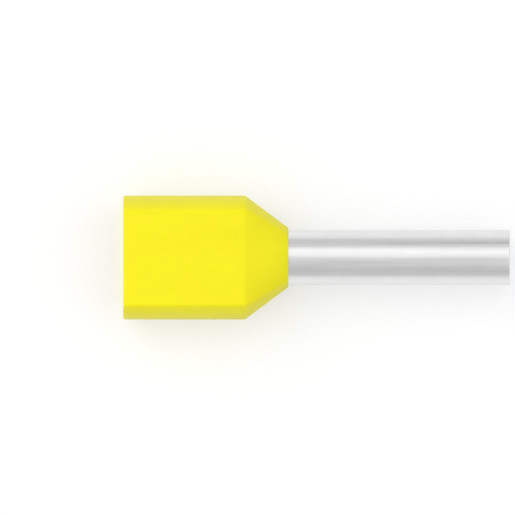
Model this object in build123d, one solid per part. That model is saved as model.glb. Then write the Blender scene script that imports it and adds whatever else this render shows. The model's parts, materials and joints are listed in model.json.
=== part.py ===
from build123d import *
import os
from math import atan2, degrees, sqrt

# Twin-entry insulated wire ferrule, for two stranded wires in one terminal. Millimetres, +Z up.
# The sleeve's axis is X, and its tip points along +X. The origin is on that axis, in the plane
# where the sleeve leaves the collar. The collar is widest along Y, and its flat sides face +Z and -Z.

# Crimp sleeve: a seamless tube with a plain cut tip and a flared end hidden in the collar
sleeve_bore = 2.1
sleeve_wall = 0.2
sleeve_exposed_length = 10.0
sleeve_seated_length = 1.5
sleeve_edge_radius = 0.05
flare_growth = 0.15
flare_start = 0.15

# Pocket of the collar, which takes the insulation of two wires side by side.
# Its breadth is across the arched ends, along Y, and its thickness across the flat sides, along Z.
pocket_breadth = 5.0
pocket_thickness = 3.15
pocket_end_radius = 2.8
pocket_corner_radius = 0.1

# Outside of the collar
collar_wall = 0.3
collar_corner_radius = 0.15
collar_body_length = 5.5
collar_taper_length = 1.95
collar_lip_wall = 0.07
collar_rim_radius = 0.1

# Way from the pocket into the sleeve: funnel, round lead-in cone and a short throat
funnel_length = 0.9
lead_in_length = 0.35
lead_in_width = 0.36
throat_length = 0.12
throat_step = 0.16

# Gap between the sleeve and its seat in the collar
seat_clearance = 0.02

# Largest share of a wall that the rounding of one of its edges may take
largest_rounding = 0.4

# Sizes that follow from those above
sleeve_radius = sleeve_bore / 2 + sleeve_wall
throat_radius = sleeve_bore / 2 - throat_step
lead_in_radius = throat_radius + lead_in_width
lip_radius = sleeve_radius + seat_clearance + collar_lip_wall
rim_radius = min(collar_rim_radius, largest_rounding * collar_wall)
tip_radius = min(sleeve_edge_radius, largest_rounding * sleeve_wall)

# Places along the axis, from the front face of the collar back to its mouth
shoulder_x = -sleeve_seated_length - seat_clearance
throat_end_x = shoulder_x - throat_length
lead_in_end_x = throat_end_x - lead_in_length
funnel_end_x = lead_in_end_x - funnel_length
taper_start_x = -collar_taper_length
mouth_x = taper_start_x - collar_body_length


def section_plane(x):
    """Plane across the axis at x, with its own X along the model's Y and its own Y along Z."""
    return Plane(origin=(x, 0, 0), x_dir=(0, 1, 0), z_dir=(1, 0, 0))


def oval(breadth, thickness, end_radius, corner_radius):
    """Section with two flat sides, two arched ends and four rounded corners."""
    side = thickness / 2
    arch_rise = end_radius - sqrt(end_radius**2 - side**2)
    corner = breadth / 2 - arch_rise
    right_arch = ThreePointArc((corner, -side), (breadth / 2, 0), (corner, side))
    left_arch = ThreePointArc((-corner, side), (-breadth / 2, 0), (-corner, -side))
    top = Line(right_arch @ 1, left_arch @ 0)
    bottom = Line(left_arch @ 1, right_arch @ 0)
    sharp = make_face([right_arch, top, left_arch, bottom])
    return fillet(sharp.vertices(), corner_radius)


def split_circle(radius, section):
    """Circle cut into arcs that end at the same angles as the corners of a section."""
    angles = sorted(degrees(atan2(v.Y, v.X)) for v in section.vertices())
    arcs = []
    for start, end in zip(angles, angles[1:] + [angles[0] + 360]):
        arcs.append(CenterArc((0, 0), radius, start, end - start))
    return make_face(arcs)


def transition(section, start_x, radius, end_x):
    """Straight-sided solid from a section at start_x to a circle at end_x."""
    start = section_plane(start_x) * section
    end = section_plane(end_x) * split_circle(radius, section)
    return loft([start, end], ruled=True)


def turned(points):
    """Solid turned about the axis from points given as (place along the axis, radius)."""
    return revolve(Plane.XZ * make_face(Polyline(*points, close=True)), Axis.X)


def collar_section():
    """Outside of the collar's body, one wall larger than the pocket all round."""
    breadth = pocket_breadth + 2 * collar_wall
    thickness = pocket_thickness + 2 * collar_wall
    return oval(breadth, thickness, pocket_end_radius + collar_wall, collar_corner_radius)


def collar_outside():
    """Body and taper of the collar, solid."""
    section = collar_section()
    body = extrude(section_plane(mouth_x) * section, collar_body_length)
    return body + transition(section, taper_start_x, lip_radius, 0)


def pocket():
    """Space for the wires' insulation, closed by a funnel that ends at the lead-in."""
    section = oval(pocket_breadth, pocket_thickness, pocket_end_radius, pocket_corner_radius)
    straight = extrude(section_plane(mouth_x) * section, funnel_end_x - mouth_x)
    return straight + transition(section, funnel_end_x, lead_in_radius, lead_in_end_x)


def strand_way():
    """Round way from the funnel into the sleeve: a cone and a throat narrower than the bore."""
    return turned(
        [
            (lead_in_end_x, 0),
            (lead_in_end_x, lead_in_radius),
            (throat_end_x, throat_radius),
            (shoulder_x, throat_radius),
            (shoulder_x, 0),
        ]
    )


def sleeve_seat():
    """Space that the sleeve's seated end takes up in the collar, with its clearance."""
    straight_radius = sleeve_radius + seat_clearance
    return turned(
        [
            (shoulder_x, 0),
            (shoulder_x, straight_radius + flare_growth),
            (-flare_start, straight_radius),
            (0, straight_radius),
            (0, 0),
        ]
    )


def insulating_collar():
    """Moulded collar: oval mouth, thin wall, funnel floor and a round lip about the sleeve."""
    collar = collar_outside() - pocket() - strand_way() - sleeve_seat()
    mouth = collar.faces().sort_by(Axis.X)[0]
    return fillet(mouth.edges(), rim_radius)


def crimp_sleeve():
    """Thin tube, straight outside the collar and flared where the collar holds it."""
    bore_radius = sleeve_bore / 2
    tube = turned(
        [
            (-sleeve_seated_length, bore_radius + flare_growth),
            (-sleeve_seated_length, sleeve_radius + flare_growth),
            (-flare_start, sleeve_radius),
            (sleeve_exposed_length, sleeve_radius),
            (sleeve_exposed_length, bore_radius),
            (-flare_start, bore_radius),
        ]
    )
    tip = tube.faces().sort_by(Axis.X)[-1]
    return fillet(tip.edges(), tip_radius)


os.makedirs("parts", exist_ok=True)
export_step(insulating_collar(), "parts/insulating_collar.step")
export_step(crimp_sleeve(), "parts/crimp_sleeve.step")
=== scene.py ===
import json
import math

import bpy
from mathutils import Euler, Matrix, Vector


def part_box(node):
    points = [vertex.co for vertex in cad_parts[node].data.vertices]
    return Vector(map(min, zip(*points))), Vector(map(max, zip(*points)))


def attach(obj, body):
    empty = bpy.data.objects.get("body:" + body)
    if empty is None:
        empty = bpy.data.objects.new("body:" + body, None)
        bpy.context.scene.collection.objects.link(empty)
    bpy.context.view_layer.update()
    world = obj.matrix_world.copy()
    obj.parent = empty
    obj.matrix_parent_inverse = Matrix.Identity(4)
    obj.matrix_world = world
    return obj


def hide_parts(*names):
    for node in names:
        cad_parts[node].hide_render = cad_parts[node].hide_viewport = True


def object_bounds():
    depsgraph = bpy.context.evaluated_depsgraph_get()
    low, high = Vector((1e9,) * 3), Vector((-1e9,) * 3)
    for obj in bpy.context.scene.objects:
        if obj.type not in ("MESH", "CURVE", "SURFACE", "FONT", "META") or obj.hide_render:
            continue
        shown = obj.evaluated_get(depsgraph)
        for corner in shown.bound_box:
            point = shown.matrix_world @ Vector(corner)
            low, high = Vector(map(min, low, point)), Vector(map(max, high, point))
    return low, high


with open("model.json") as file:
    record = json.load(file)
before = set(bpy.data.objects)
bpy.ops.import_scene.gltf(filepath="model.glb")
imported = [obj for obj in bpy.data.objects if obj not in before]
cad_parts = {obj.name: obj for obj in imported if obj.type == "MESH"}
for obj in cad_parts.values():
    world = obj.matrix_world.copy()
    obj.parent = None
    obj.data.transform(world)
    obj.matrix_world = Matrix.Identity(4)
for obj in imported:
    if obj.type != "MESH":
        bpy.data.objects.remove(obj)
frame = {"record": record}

bl_info = {
    "name": "Twin-entry Wire Ferrule",
    "version": (1, 0, 0),
    "blender": (4, 5, 0),
    "location": "3D View > Sidebar > Ferrule",
    "description": "Builds the collar and the crimp sleeve of a wire ferrule, and a plain stage",
    "category": "Add Mesh",
}

# Sizes are in metres, as the frame's are
MM = 0.001

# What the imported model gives
CAD_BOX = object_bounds()
COLLAR_LOW, COLLAR_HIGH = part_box("insulating_collar")
SLEEVE_LOW, SLEEVE_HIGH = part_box("crimp_sleeve")
MOUNTS = {mount["name"]: mount for mount in frame["record"]["mounts"]}
BORE_RADIUS = MOUNTS["wire_bore"]["dims"]["r_mm"] * MM
SLEEVE_RADIUS = MOUNTS["terminal_pin"]["dims"]["r_mm"] * MM
FLARE_RADIUS = SLEEVE_HIGH.z

# How finely the meshes are divided
ARCH_STEPS = 48
CORNER_STEPS = 8
FLAT_STEPS = 24
TUBE_STEPS = 192
ROUNDING_STEPS = 6

# Sockets of a Mix node for its two colours and their result, whose names other sockets share
MIX_FIRST, MIX_SECOND, MIX_RESULT = 6, 7, 2

# What the camera sees of an unshaded floor, where 1 is white
WHITE_FLOOR = 1.02

# Brightness of the studio dome by the height of a direction, from the horizon to overhead
DOME_BRIGHTNESS = ((0.0, 1.0), (0.03, 1.0), (0.12, 0.62), (0.5, 0.54), (0.8, 0.6), (1.0, 0.64))
DOME = [(height, (level, level, level, 1.0)) for height, level in DOME_BRIGHTNESS]

# Where the drawing has the mouth of the collar and the tip of the sleeve, in its own pixels
DRAWING_WIDTH = 515
MOUTH_PIXEL = 123.0
TIP_PIXEL = 510.1


def length(name, description, default):
    """Property for a size, shown in the scene's units."""
    return bpy.props.FloatProperty(
        name=name, description=description, default=default, min=0.0, precision=5, unit="LENGTH"
    )


def colour(name, description, default):
    """Property for a linear colour."""
    return bpy.props.FloatVectorProperty(
        name=name, description=description, default=default, size=3, min=0.0, max=1.0, subtype="COLOR"
    )


def brightness(name, description, default):
    """Property for the brightness of a surface, where 1 is white."""
    return bpy.props.FloatProperty(name=name, description=description, default=default, min=0.0)


def turn(name, description, default):
    """Property for a turn about the three axes, with its default in degrees."""
    radians = [math.radians(degrees) for degrees in default]
    return bpy.props.FloatVectorProperty(
        name=name, description=description, default=radians, size=3, subtype="EULER"
    )


class CollarSettings(bpy.types.PropertyGroup):
    """Sizes and colour of the moulded collar."""

    wall: length("Wall", "Thickness of the barrel's wall", 0.3 * MM)
    end_radius: length("End radius", "Radius of the two arched ends, outside", 3.1 * MM)
    corner_radius: length("Corner radius", "Where a flat side meets an arched end, outside", 0.15 * MM)
    pocket_corner_radius: length("Pocket corner radius", "The same corner inside", 0.1 * MM)
    rim_radius: length("Rim radius", "Rounding of the mouth's two edges", 0.1 * MM)
    shoulder_radius: length("Shoulder radius", "Rounding where taper and funnel start", 0.12 * MM)
    edge_radius: length("Edge radius", "Rounding of the small round edges", 0.02 * MM)
    taper_length: length("Taper length", "From the barrel to the front face", 1.95 * MM)
    lip_wall: length("Lip wall", "Plastic round the sleeve at the front face", 0.07 * MM)
    clearance: length("Clearance", "Gap between the sleeve and its seat", 0.02 * MM)
    throat_step: length("Throat step", "How far the throat stands inside the bore", 0.16 * MM)
    throat_length: length("Throat length", "Length of the throat", 0.12 * MM)
    lead_in_width: length("Lead-in width", "Width of the cone and its ledge round the throat", 0.36 * MM)
    lead_in_length: length("Lead-in length", "Depth of the cone and its ledge", 0.35 * MM)
    ledge_width: length("Ledge width", "Narrow ledge round the cone's wide end", 0.09 * MM)
    ledge_depth: length("Ledge depth", "How far the cone starts behind the ledge", 0.06 * MM)
    funnel_length: length("Funnel length", "From the pocket to the ledge", 0.9 * MM)
    plastic: colour("Plastic", "Colour of the plastic", (0.985, 0.87, 0.0))


class SleeveSettings(bpy.types.PropertyGroup):
    """Sizes and colour of the crimp sleeve."""

    flare_start: length("Flare start", "Where the flare starts, behind the front face", 0.15 * MM)
    edge_radius: length("Edge radius", "Rounding of the tube's edges", 0.05 * MM)
    tin: colour("Tin", "Colour of the tin plate", (0.83, 0.83, 0.835))


class StageSettings(bpy.types.PropertyGroup):
    """Floor, light and camera."""

    floor_size: length("Floor size", "Side of the floor", 400 * MM)
    floor_colour: colour("Floor colour", "Colour of the floor", (0.55, 0.55, 0.55))
    camera_height: length("Camera height", "Height of the camera above the sleeve's axis", 60 * MM)
    lamp_distance: length("Lamp distance", "From the ferrule to each soft box", 320 * MM)
    lamp_length: length("Lamp length", "Length of each soft box", 600 * MM)
    top_breadth: length("Top lamp's breadth", "Breadth of the soft box overhead", 240 * MM)
    top_brightness: brightness("Top lamp's brightness", "Brightness of its face, where 1 is white", 0.62)
    top_turn: turn("Top lamp's turn", "How it is leant from overhead", (-26, -24, 0))
    end_breadth: length("End lamps' breadth", "Breadth of the soft boxes beside the two ends", 400 * MM)
    mouth_brightness: brightness("Mouth lamp's brightness", "The same, for the lamp beside the mouth", 0.7)
    mouth_turn: turn("Mouth lamp's turn", "How it is leant from overhead", (50, 0, -90))
    tip_brightness: brightness("Tip lamp's brightness", "The same, for the lamp beyond the tip", 0.36)
    tip_turn: turn("Tip lamp's turn", "How it is leant from overhead", (48, 0, 90))


class Value:
    """Output socket of a node. Sums and products with it add Math nodes."""

    def __init__(self, shader, socket):
        self.shader = shader
        self.socket = socket

    def __add__(self, other):
        return self.shader.math("ADD", self, other)

    def __radd__(self, other):
        return self.shader.math("ADD", other, self)

    def __mul__(self, other):
        return self.shader.math("MULTIPLY", self, other)

    def __rmul__(self, other):
        return self.shader.math("MULTIPLY", other, self)


class Shader:
    """Node tree of a material or of the world, to which one method adds any node."""

    def __init__(self, owner):
        owner.use_nodes = True
        self.tree = owner.node_tree
        self.tree.nodes.clear()

    def add(self, kind, settings=None, inputs=None, output=0):
        """Node with its settings, and then the values or links of its sockets."""
        node = self.tree.nodes.new(kind)
        for name, setting in (settings or {}).items():
            if name == "stops":
                self.set_stops(node.color_ramp.elements, setting)
            else:
                setattr(node, name, setting)
        for name, value in (inputs or {}).items():
            if isinstance(value, Value):
                self.tree.links.new(value.socket, node.inputs[name])
            else:
                node.inputs[name].default_value = value
        return Value(self, node.outputs[output]) if node.outputs else None

    def set_stops(self, elements, stops):
        """Stops of a colour ramp, each a position and a shade."""
        while len(elements) < len(stops):
            elements.new(1.0)
        for element, (position, shade) in zip(elements, stops):
            element.position = position
            element.color = shade

    def math(self, operation, first, second):
        """Number worked out from two others."""
        return self.add("ShaderNodeMath", {"operation": operation}, {0: first, 1: second})

    def mix(self, factor, first, second):
        """Colour between two others."""
        inputs = {"Factor": factor, MIX_FIRST: rgba(first), MIX_SECOND: rgba(second)}
        return self.add("ShaderNodeMix", {"data_type": "RGBA"}, inputs, MIX_RESULT)

    def noise(self, place, scale, detail, roughness=0.5, stretch=(1.0, 1.0, 1.0)):
        """Grey noise over a place in millimetres, which a small stretch draws out along its axis."""
        stretched = self.add("ShaderNodeVectorMath", {"operation": "MULTIPLY"}, {0: place, 1: stretch})
        inputs = {"Vector": stretched, "Scale": scale, "Detail": detail, "Roughness": roughness}
        return self.add("ShaderNodeTexNoise", {"noise_dimensions": "3D"}, inputs)

    def spread(self, value, low, high):
        """Value from one range fitted to 0 to 1, and held inside it."""
        inputs = {"Value": value, "From Min": low, "From Max": high}
        return self.add("ShaderNodeMapRange", {"clamp": True}, inputs)

    def bump(self, height, distance):
        """Normal tilted by a height that is told in full distances."""
        return self.add("ShaderNodeBump", inputs={"Height": height, "Distance": distance, "Strength": 1.0})

    def seen(self):
        """1 for a ray from the camera, or one that mirrors or passes through something on its way."""
        kinds = ("Is Camera Ray", "Is Glossy Ray", "Is Transmission Ray")
        camera, glossy, through = [self.add("ShaderNodeLightPath", output=kind) for kind in kinds]
        return self.math("MINIMUM", camera + glossy + through, 1.0)

    def millimetres(self):
        """Place on the piece in millimetres."""
        place = self.add("ShaderNodeTexCoord", output="Object")
        return self.add("ShaderNodeVectorMath", {"operation": "SCALE"}, {0: place, "Scale": 1 / MM})

    def finish_surface(self, inputs):
        """Surface with these inputs, as the material's output."""
        surface = self.add("ShaderNodeBsdfPrincipled", inputs=inputs)
        self.add("ShaderNodeOutputMaterial", inputs={"Surface": surface})


def rgba(shade):
    """Colour with full cover."""
    return (*shade, 1.0)


def darker(shade, share):
    """Colour with this share of its light."""
    return tuple(share * part for part in shade)


def add_object(name, data):
    """New object in the scene."""
    thing = bpy.data.objects.new(name, data)
    bpy.context.scene.collection.objects.link(thing)
    return thing


def arc(centre, radius, start, end, steps):
    """Points on an arc about a centre, without its last one."""
    points = []
    for i in range(steps):
        angle = start + (end - start) * i / steps
        points.append((centre[0] + radius * math.cos(angle), centre[1] + radius * math.sin(angle)))
    return points


def circle(radius):
    """Points round a tube."""
    return arc((0, 0), radius, 0.0, math.tau, TUBE_STEPS)


def flat(start, end, z):
    """Points on a flat side, without its last one."""
    return [(start + (end - start) * i / FLAT_STEPS, z) for i in range(FLAT_STEPS)]


class Oval:
    """Section with two flat sides and two arched ends, which meet in rounded corners."""

    def __init__(self, breadth, thickness, end_radius, corner_radius):
        side = thickness / 2
        arch_centre = breadth / 2 - end_radius
        corner_z = side - corner_radius
        reach = math.sqrt((end_radius - corner_radius) ** 2 - corner_z**2)
        corner_y = arch_centre + reach
        arch_end = math.atan2(corner_z, reach)
        right, up, left = 0.0, math.pi / 2, math.pi
        down = -up
        self.stretches = [
            arc((arch_centre, 0), end_radius, -arch_end, arch_end, ARCH_STEPS),
            arc((corner_y, corner_z), corner_radius, arch_end, up, CORNER_STEPS),
            flat(corner_y, -corner_y, side),
            arc((-corner_y, corner_z), corner_radius, up, left - arch_end, CORNER_STEPS),
            arc((-arch_centre, 0), end_radius, left - arch_end, left + arch_end, ARCH_STEPS),
            arc((-corner_y, -corner_z), corner_radius, left + arch_end, left + up, CORNER_STEPS),
            flat(-corner_y, corner_y, -side),
            arc((corner_y, -corner_z), corner_radius, down, right - arch_end, CORNER_STEPS),
        ]

    def ring(self):
        """All points in order round the axis."""
        return [point for stretch in self.stretches for point in stretch]

    def circle(self, radius):
        """Circle with a point for each of the oval's, even within each stretch."""
        starts = [math.atan2(stretch[0][1], stretch[0][0]) for stretch in self.stretches]
        points = []
        for i, stretch in enumerate(self.stretches):
            sweep = (starts[(i + 1) % len(starts)] - starts[i]) % math.tau
            points += arc((0, 0), radius, starts[i], starts[i] + sweep, len(stretch))
        return points


def rounded_path(points, radii):
    """Closed path through points, each rounded by an arc of its own radius."""
    path = []
    for i, point in enumerate(points):
        back = (points[i - 1] - point).normalized()
        ahead = (points[(i + 1) % len(points)] - point).normalized()
        half_turn = (math.pi - back.angle(ahead)) / 2
        tangent = radii[i] * math.tan(half_turn)
        centre = point + (back + ahead).normalized() * (radii[i] / math.cos(half_turn))
        start = (point + back * tangent - centre).normalized()
        end = (point + ahead * tangent - centre).normalized()
        for step in range(ROUNDING_STEPS + 1):
            path.append(centre + start.slerp(end, step / ROUNDING_STEPS) * radii[i])
    return path


def skin(name, rings):
    """Closed tube-like mesh over rings, each a place along the axis, points round it and a rounding."""
    radii = [rounding for x, points, rounding in rings]
    loops = [[Vector((x, y, z)) for y, z in points] for x, points, rounding in rings]
    columns = [rounded_path(column, radii) for column in zip(*loops)]
    across, along = len(columns), len(columns[0])
    vertices = [point for column in columns for point in column]
    faces = []
    for i in range(across):
        for j in range(along):
            right, up = (i + 1) % across, (j + 1) % along
            faces.append((i * along + j, right * along + j, right * along + up, i * along + up))
    mesh = bpy.data.meshes.new(name)
    mesh.from_pydata(vertices, [], faces)
    mesh.validate()
    mesh.shade_smooth()
    piece = add_object(name, mesh)
    # The large faces lead the shading, so a flat side looks flat as far as its roundings
    piece.modifiers.new("even shading", "WEIGHTED_NORMAL").weight = 100
    return piece


def collar_rings(sizes, flare_start):
    """Rings of the collar from the mouth along the outside to the front, and back along the inside."""
    breadth = COLLAR_HIGH.y - COLLAR_LOW.y
    thickness = COLLAR_HIGH.z - COLLAR_LOW.z
    outside = Oval(breadth, thickness, sizes.end_radius, sizes.corner_radius)
    inside = Oval(
        breadth - 2 * sizes.wall,
        thickness - 2 * sizes.wall,
        sizes.end_radius - sizes.wall,
        sizes.pocket_corner_radius,
    )
    # Radii of the round parts
    seat = SLEEVE_RADIUS + sizes.clearance
    flare = FLARE_RADIUS + sizes.clearance
    throat = BORE_RADIUS - sizes.throat_step
    lead_in = throat + sizes.lead_in_width
    ledge = lead_in - sizes.ledge_width
    # Places along the axis
    mouth, front = COLLAR_LOW.x, COLLAR_HIGH.x
    shoulder = SLEEVE_LOW.x - sizes.clearance
    throat_end = shoulder - sizes.throat_length
    lead_in_end = throat_end - sizes.lead_in_length
    funnel_end = lead_in_end - sizes.funnel_length
    return [
        (mouth, outside.ring(), sizes.rim_radius),
        (front - sizes.taper_length, outside.ring(), sizes.shoulder_radius),
        (front, outside.circle(seat + sizes.lip_wall), sizes.edge_radius),
        (front, outside.circle(seat), sizes.edge_radius),
        (front - flare_start, outside.circle(seat), sizes.edge_radius),
        (shoulder, outside.circle(flare), sizes.edge_radius),
        (shoulder, inside.circle(throat), sizes.edge_radius),
        (throat_end, inside.circle(throat), sizes.edge_radius),
        (lead_in_end + sizes.ledge_depth, inside.circle(ledge), sizes.edge_radius),
        (lead_in_end, inside.circle(ledge), sizes.edge_radius),
        (lead_in_end, inside.circle(lead_in), sizes.edge_radius),
        (funnel_end, inside.ring(), sizes.shoulder_radius),
        (mouth, inside.ring(), sizes.rim_radius),
    ]


def sleeve_rings(sizes):
    """Rings of the tube from its rear edge along the outside to the tip, and back along the bore."""
    wall = SLEEVE_RADIUS - BORE_RADIUS
    rear, tip = SLEEVE_LOW.x, SLEEVE_HIGH.x
    flare_start = COLLAR_HIGH.x - sizes.flare_start
    rounding = sizes.edge_radius
    return [
        (rear, circle(FLARE_RADIUS), rounding),
        (flare_start, circle(SLEEVE_RADIUS), rounding),
        (tip, circle(SLEEVE_RADIUS), rounding),
        (tip, circle(BORE_RADIUS), rounding),
        (flare_start, circle(BORE_RADIUS), rounding),
        (rear, circle(FLARE_RADIUS - wall), rounding),
    ]


def moulded_plastic(plastic):
    """Satin plastic, a little translucent, with grain and flow lines from its mould."""
    material = bpy.data.materials.new("moulded plastic")
    shader = Shader(material)
    place = shader.millimetres()
    drift = shader.noise(place, scale=0.6, detail=2.0, stretch=(0.5, 1.0, 1.0))
    flow = shader.noise(place, scale=3.5, detail=4.0, stretch=(0.08, 1.0, 1.0))
    grain = shader.noise(place, scale=9.0, detail=3.0, roughness=0.6)
    shade = shader.spread(0.6 * drift + 0.2 * flow + 0.2 * grain, low=0.35, high=0.65)
    relief = 0.012 * MM
    inputs = {
        "Base Color": shader.mix(shade, darker(plastic, 0.95), plastic),
        "Roughness": 0.3 + 0.18 * grain + 0.08 * flow,
        "Normal": shader.bump(0.75 * grain + 0.25 * flow, relief),
        "IOR": 1.49,
        "Specular IOR Level": 0.32,
        "Subsurface Weight": 0.4,
        "Subsurface Radius": (1.0, 1.0, 0.15),
        "Subsurface Scale": 0.3 * MM,
    }
    shader.finish_surface(inputs)
    return material


def tin_plate(tin):
    """Satin tin on drawn tube, with fine straight lines along it, frost and slight drifts of shade."""
    material = bpy.data.materials.new("tin plate")
    shader = Shader(material)
    place = shader.millimetres()
    mottle = shader.noise(place, scale=1.2, detail=3.0, stretch=(0.7, 1.0, 1.0))
    drawn = shader.noise(place, scale=16.0, detail=3.0, roughness=0.6, stretch=(0.01, 1.0, 1.0))
    frost = shader.noise(place, scale=24.0, detail=2.0)
    lines = shader.spread(drawn, low=0.35, high=0.65)
    shade = 0.6 * shader.spread(mottle, low=0.3, high=0.7) + 0.4 * lines
    relief = 0.006 * MM
    inputs = {
        "Base Color": shader.mix(shade, darker(tin, 0.94), tin),
        "Metallic": 1.0,
        "Roughness": 0.25 + 0.14 * lines + 0.08 * frost,
        "Normal": shader.bump(0.35 * mottle + 0.5 * drawn + 0.15 * frost, relief),
    }
    shader.finish_surface(inputs)
    return material


def seat_on_root(piece, node, material):
    """Gives a piece its material and its place in the frame, instead of the CAD node."""
    piece.data.materials.append(material)
    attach(piece, "root")
    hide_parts(node)


class FERRULE_OT_collar(bpy.types.Operator):
    """Make the moulded collar with its pocket, funnel and seat for the sleeve"""

    bl_idname = "ferrule.collar"
    bl_label = "Insulating Collar"

    def execute(self, context):
        sizes = context.scene.ferrule_collar
        rings = collar_rings(sizes, context.scene.ferrule_sleeve.flare_start)
        collar = skin("collar", rings)
        seat_on_root(collar, "insulating_collar", moulded_plastic(sizes.plastic))
        return {"FINISHED"}


class FERRULE_OT_sleeve(bpy.types.Operator):
    """Make the tin-plated tube with its cut tip and flared rear end"""

    bl_idname = "ferrule.sleeve"
    bl_label = "Crimp Sleeve"

    def execute(self, context):
        sizes = context.scene.ferrule_sleeve
        sleeve = skin("sleeve", sleeve_rings(sizes))
        seat_on_root(sleeve, "crimp_sleeve", tin_plate(sizes.tin))
        return {"FINISHED"}


def add_floor(settings):
    """Pale floor under the collar's flat side, which shows white and keeps the ferrule's shadow."""
    half = settings.floor_size / 2
    level = COLLAR_LOW.z
    outline = [(-half, -half, level), (half, -half, level), (half, half, level), (-half, half, level)]
    mesh = bpy.data.meshes.new("floor")
    mesh.from_pydata(outline, [], [(0, 1, 2, 3)])
    floor = add_object("floor", mesh)
    material = bpy.data.materials.new("pale floor")
    shader = Shader(material)
    matt = shader.add("ShaderNodeBsdfDiffuse", inputs={"Color": rgba(settings.floor_colour)})
    missing = WHITE_FLOOR - sum(settings.floor_colour) / 3
    glow = shader.add("ShaderNodeEmission", inputs={"Color": shader.seen() * missing})
    both = shader.add("ShaderNodeAddShader", inputs={0: matt, 1: glow})
    shader.add("ShaderNodeOutputMaterial", inputs={"Surface": both})
    floor.data.materials.append(material)


def add_world():
    """Studio dome: white at the horizon and below, darker above it, and a little brighter overhead."""
    world = bpy.data.worlds.new("studio")
    bpy.context.scene.world = world
    shader = Shader(world)
    direction = shader.add("ShaderNodeTexCoord", output="Generated")
    upward = shader.add("ShaderNodeSeparateXYZ", inputs={"Vector": direction}, output="Z")
    dome = shader.add("ShaderNodeValToRGB", {"stops": DOME}, {"Fac": upward})
    light = shader.add("ShaderNodeBackground", inputs={"Color": dome, "Strength": 1.0})
    shader.add("ShaderNodeOutputWorld", inputs={"Surface": light})


def add_soft_box(name, settings, breadth, level, leant):
    """Large lamp that faces the ferrule, leant from overhead."""
    lamp = bpy.data.lights.new(name, "AREA")
    lamp.shape = "RECTANGLE"
    lamp.size = settings.lamp_length
    lamp.size_y = breadth
    # The face of such a lamp is as bright as its power divided by its area and by pi
    lamp.energy = level * math.pi * settings.lamp_length * breadth
    holder = add_object(name, lamp)
    holder.rotation_euler = leant
    away = Euler(leant).to_matrix() @ Vector((0.0, 0.0, settings.lamp_distance))
    holder.location = (CAD_BOX[0] + CAD_BOX[1]) / 2 + away


def add_camera(settings):
    """Camera square above the flat side, which sees the ferrule where the drawing has it."""
    pixel = (SLEEVE_HIGH.x - COLLAR_LOW.x) / (TIP_PIXEL - MOUTH_PIXEL)
    data = bpy.data.cameras.new("camera")
    data.type = "ORTHO"
    data.ortho_scale = DRAWING_WIDTH * pixel
    data.clip_start = 1 * MM
    data.clip_end = 1000 * MM
    camera = add_object("camera", data)
    middle = COLLAR_LOW.x + (DRAWING_WIDTH / 2 - MOUTH_PIXEL) * pixel
    camera.location = (middle, 0.0, settings.camera_height)
    bpy.context.scene.camera = camera


class FERRULE_OT_stage(bpy.types.Operator):
    """Make the floor, the light and the camera"""

    bl_idname = "ferrule.stage"
    bl_label = "Stage"

    def execute(self, context):
        settings = context.scene.ferrule_stage
        add_floor(settings)
        add_world()
        lamps = (
            ("top lamp", settings.top_breadth, settings.top_brightness, settings.top_turn),
            ("mouth lamp", settings.end_breadth, settings.mouth_brightness, settings.mouth_turn),
            ("tip lamp", settings.end_breadth, settings.tip_brightness, settings.tip_turn),
        )
        for name, breadth, level, leant in lamps:
            add_soft_box(name, settings, breadth, level, leant)
        add_camera(settings)
        context.scene.view_settings.view_transform = "Standard"
        return {"FINISHED"}


class FERRULE_PT_sidebar(bpy.types.Panel):
    """Buttons and sizes for the ferrule"""

    bl_label = "Wire Ferrule"
    bl_idname = "FERRULE_PT_sidebar"
    bl_space_type = "VIEW_3D"
    bl_region_type = "UI"
    bl_category = "Ferrule"

    def draw(self, context):
        for step, settings in STEPS:
            box = self.layout.box()
            box.operator(step.bl_idname)
            group = getattr(context.scene, settings)
            for name in group.__annotations__:
                box.prop(group, name)


SETTINGS = {
    "ferrule_collar": CollarSettings,
    "ferrule_sleeve": SleeveSettings,
    "ferrule_stage": StageSettings,
}
STEPS = (
    (FERRULE_OT_collar, "ferrule_collar"),
    (FERRULE_OT_sleeve, "ferrule_sleeve"),
    (FERRULE_OT_stage, "ferrule_stage"),
)
CLASSES = (*SETTINGS.values(), *(step for step, _ in STEPS), FERRULE_PT_sidebar)


def register():
    for cls in CLASSES:
        bpy.utils.register_class(cls)
    for name, group in SETTINGS.items():
        setattr(bpy.types.Scene, name, bpy.props.PointerProperty(type=group))


def unregister():
    for name in SETTINGS:
        delattr(bpy.types.Scene, name)
    for cls in reversed(CLASSES):
        bpy.utils.unregister_class(cls)


def main():
    """Makes both pieces and the stage."""
    register()
    bpy.ops.ferrule.collar()
    bpy.ops.ferrule.sleeve()
    bpy.ops.ferrule.stage()


if __name__ == "__main__":
    main()
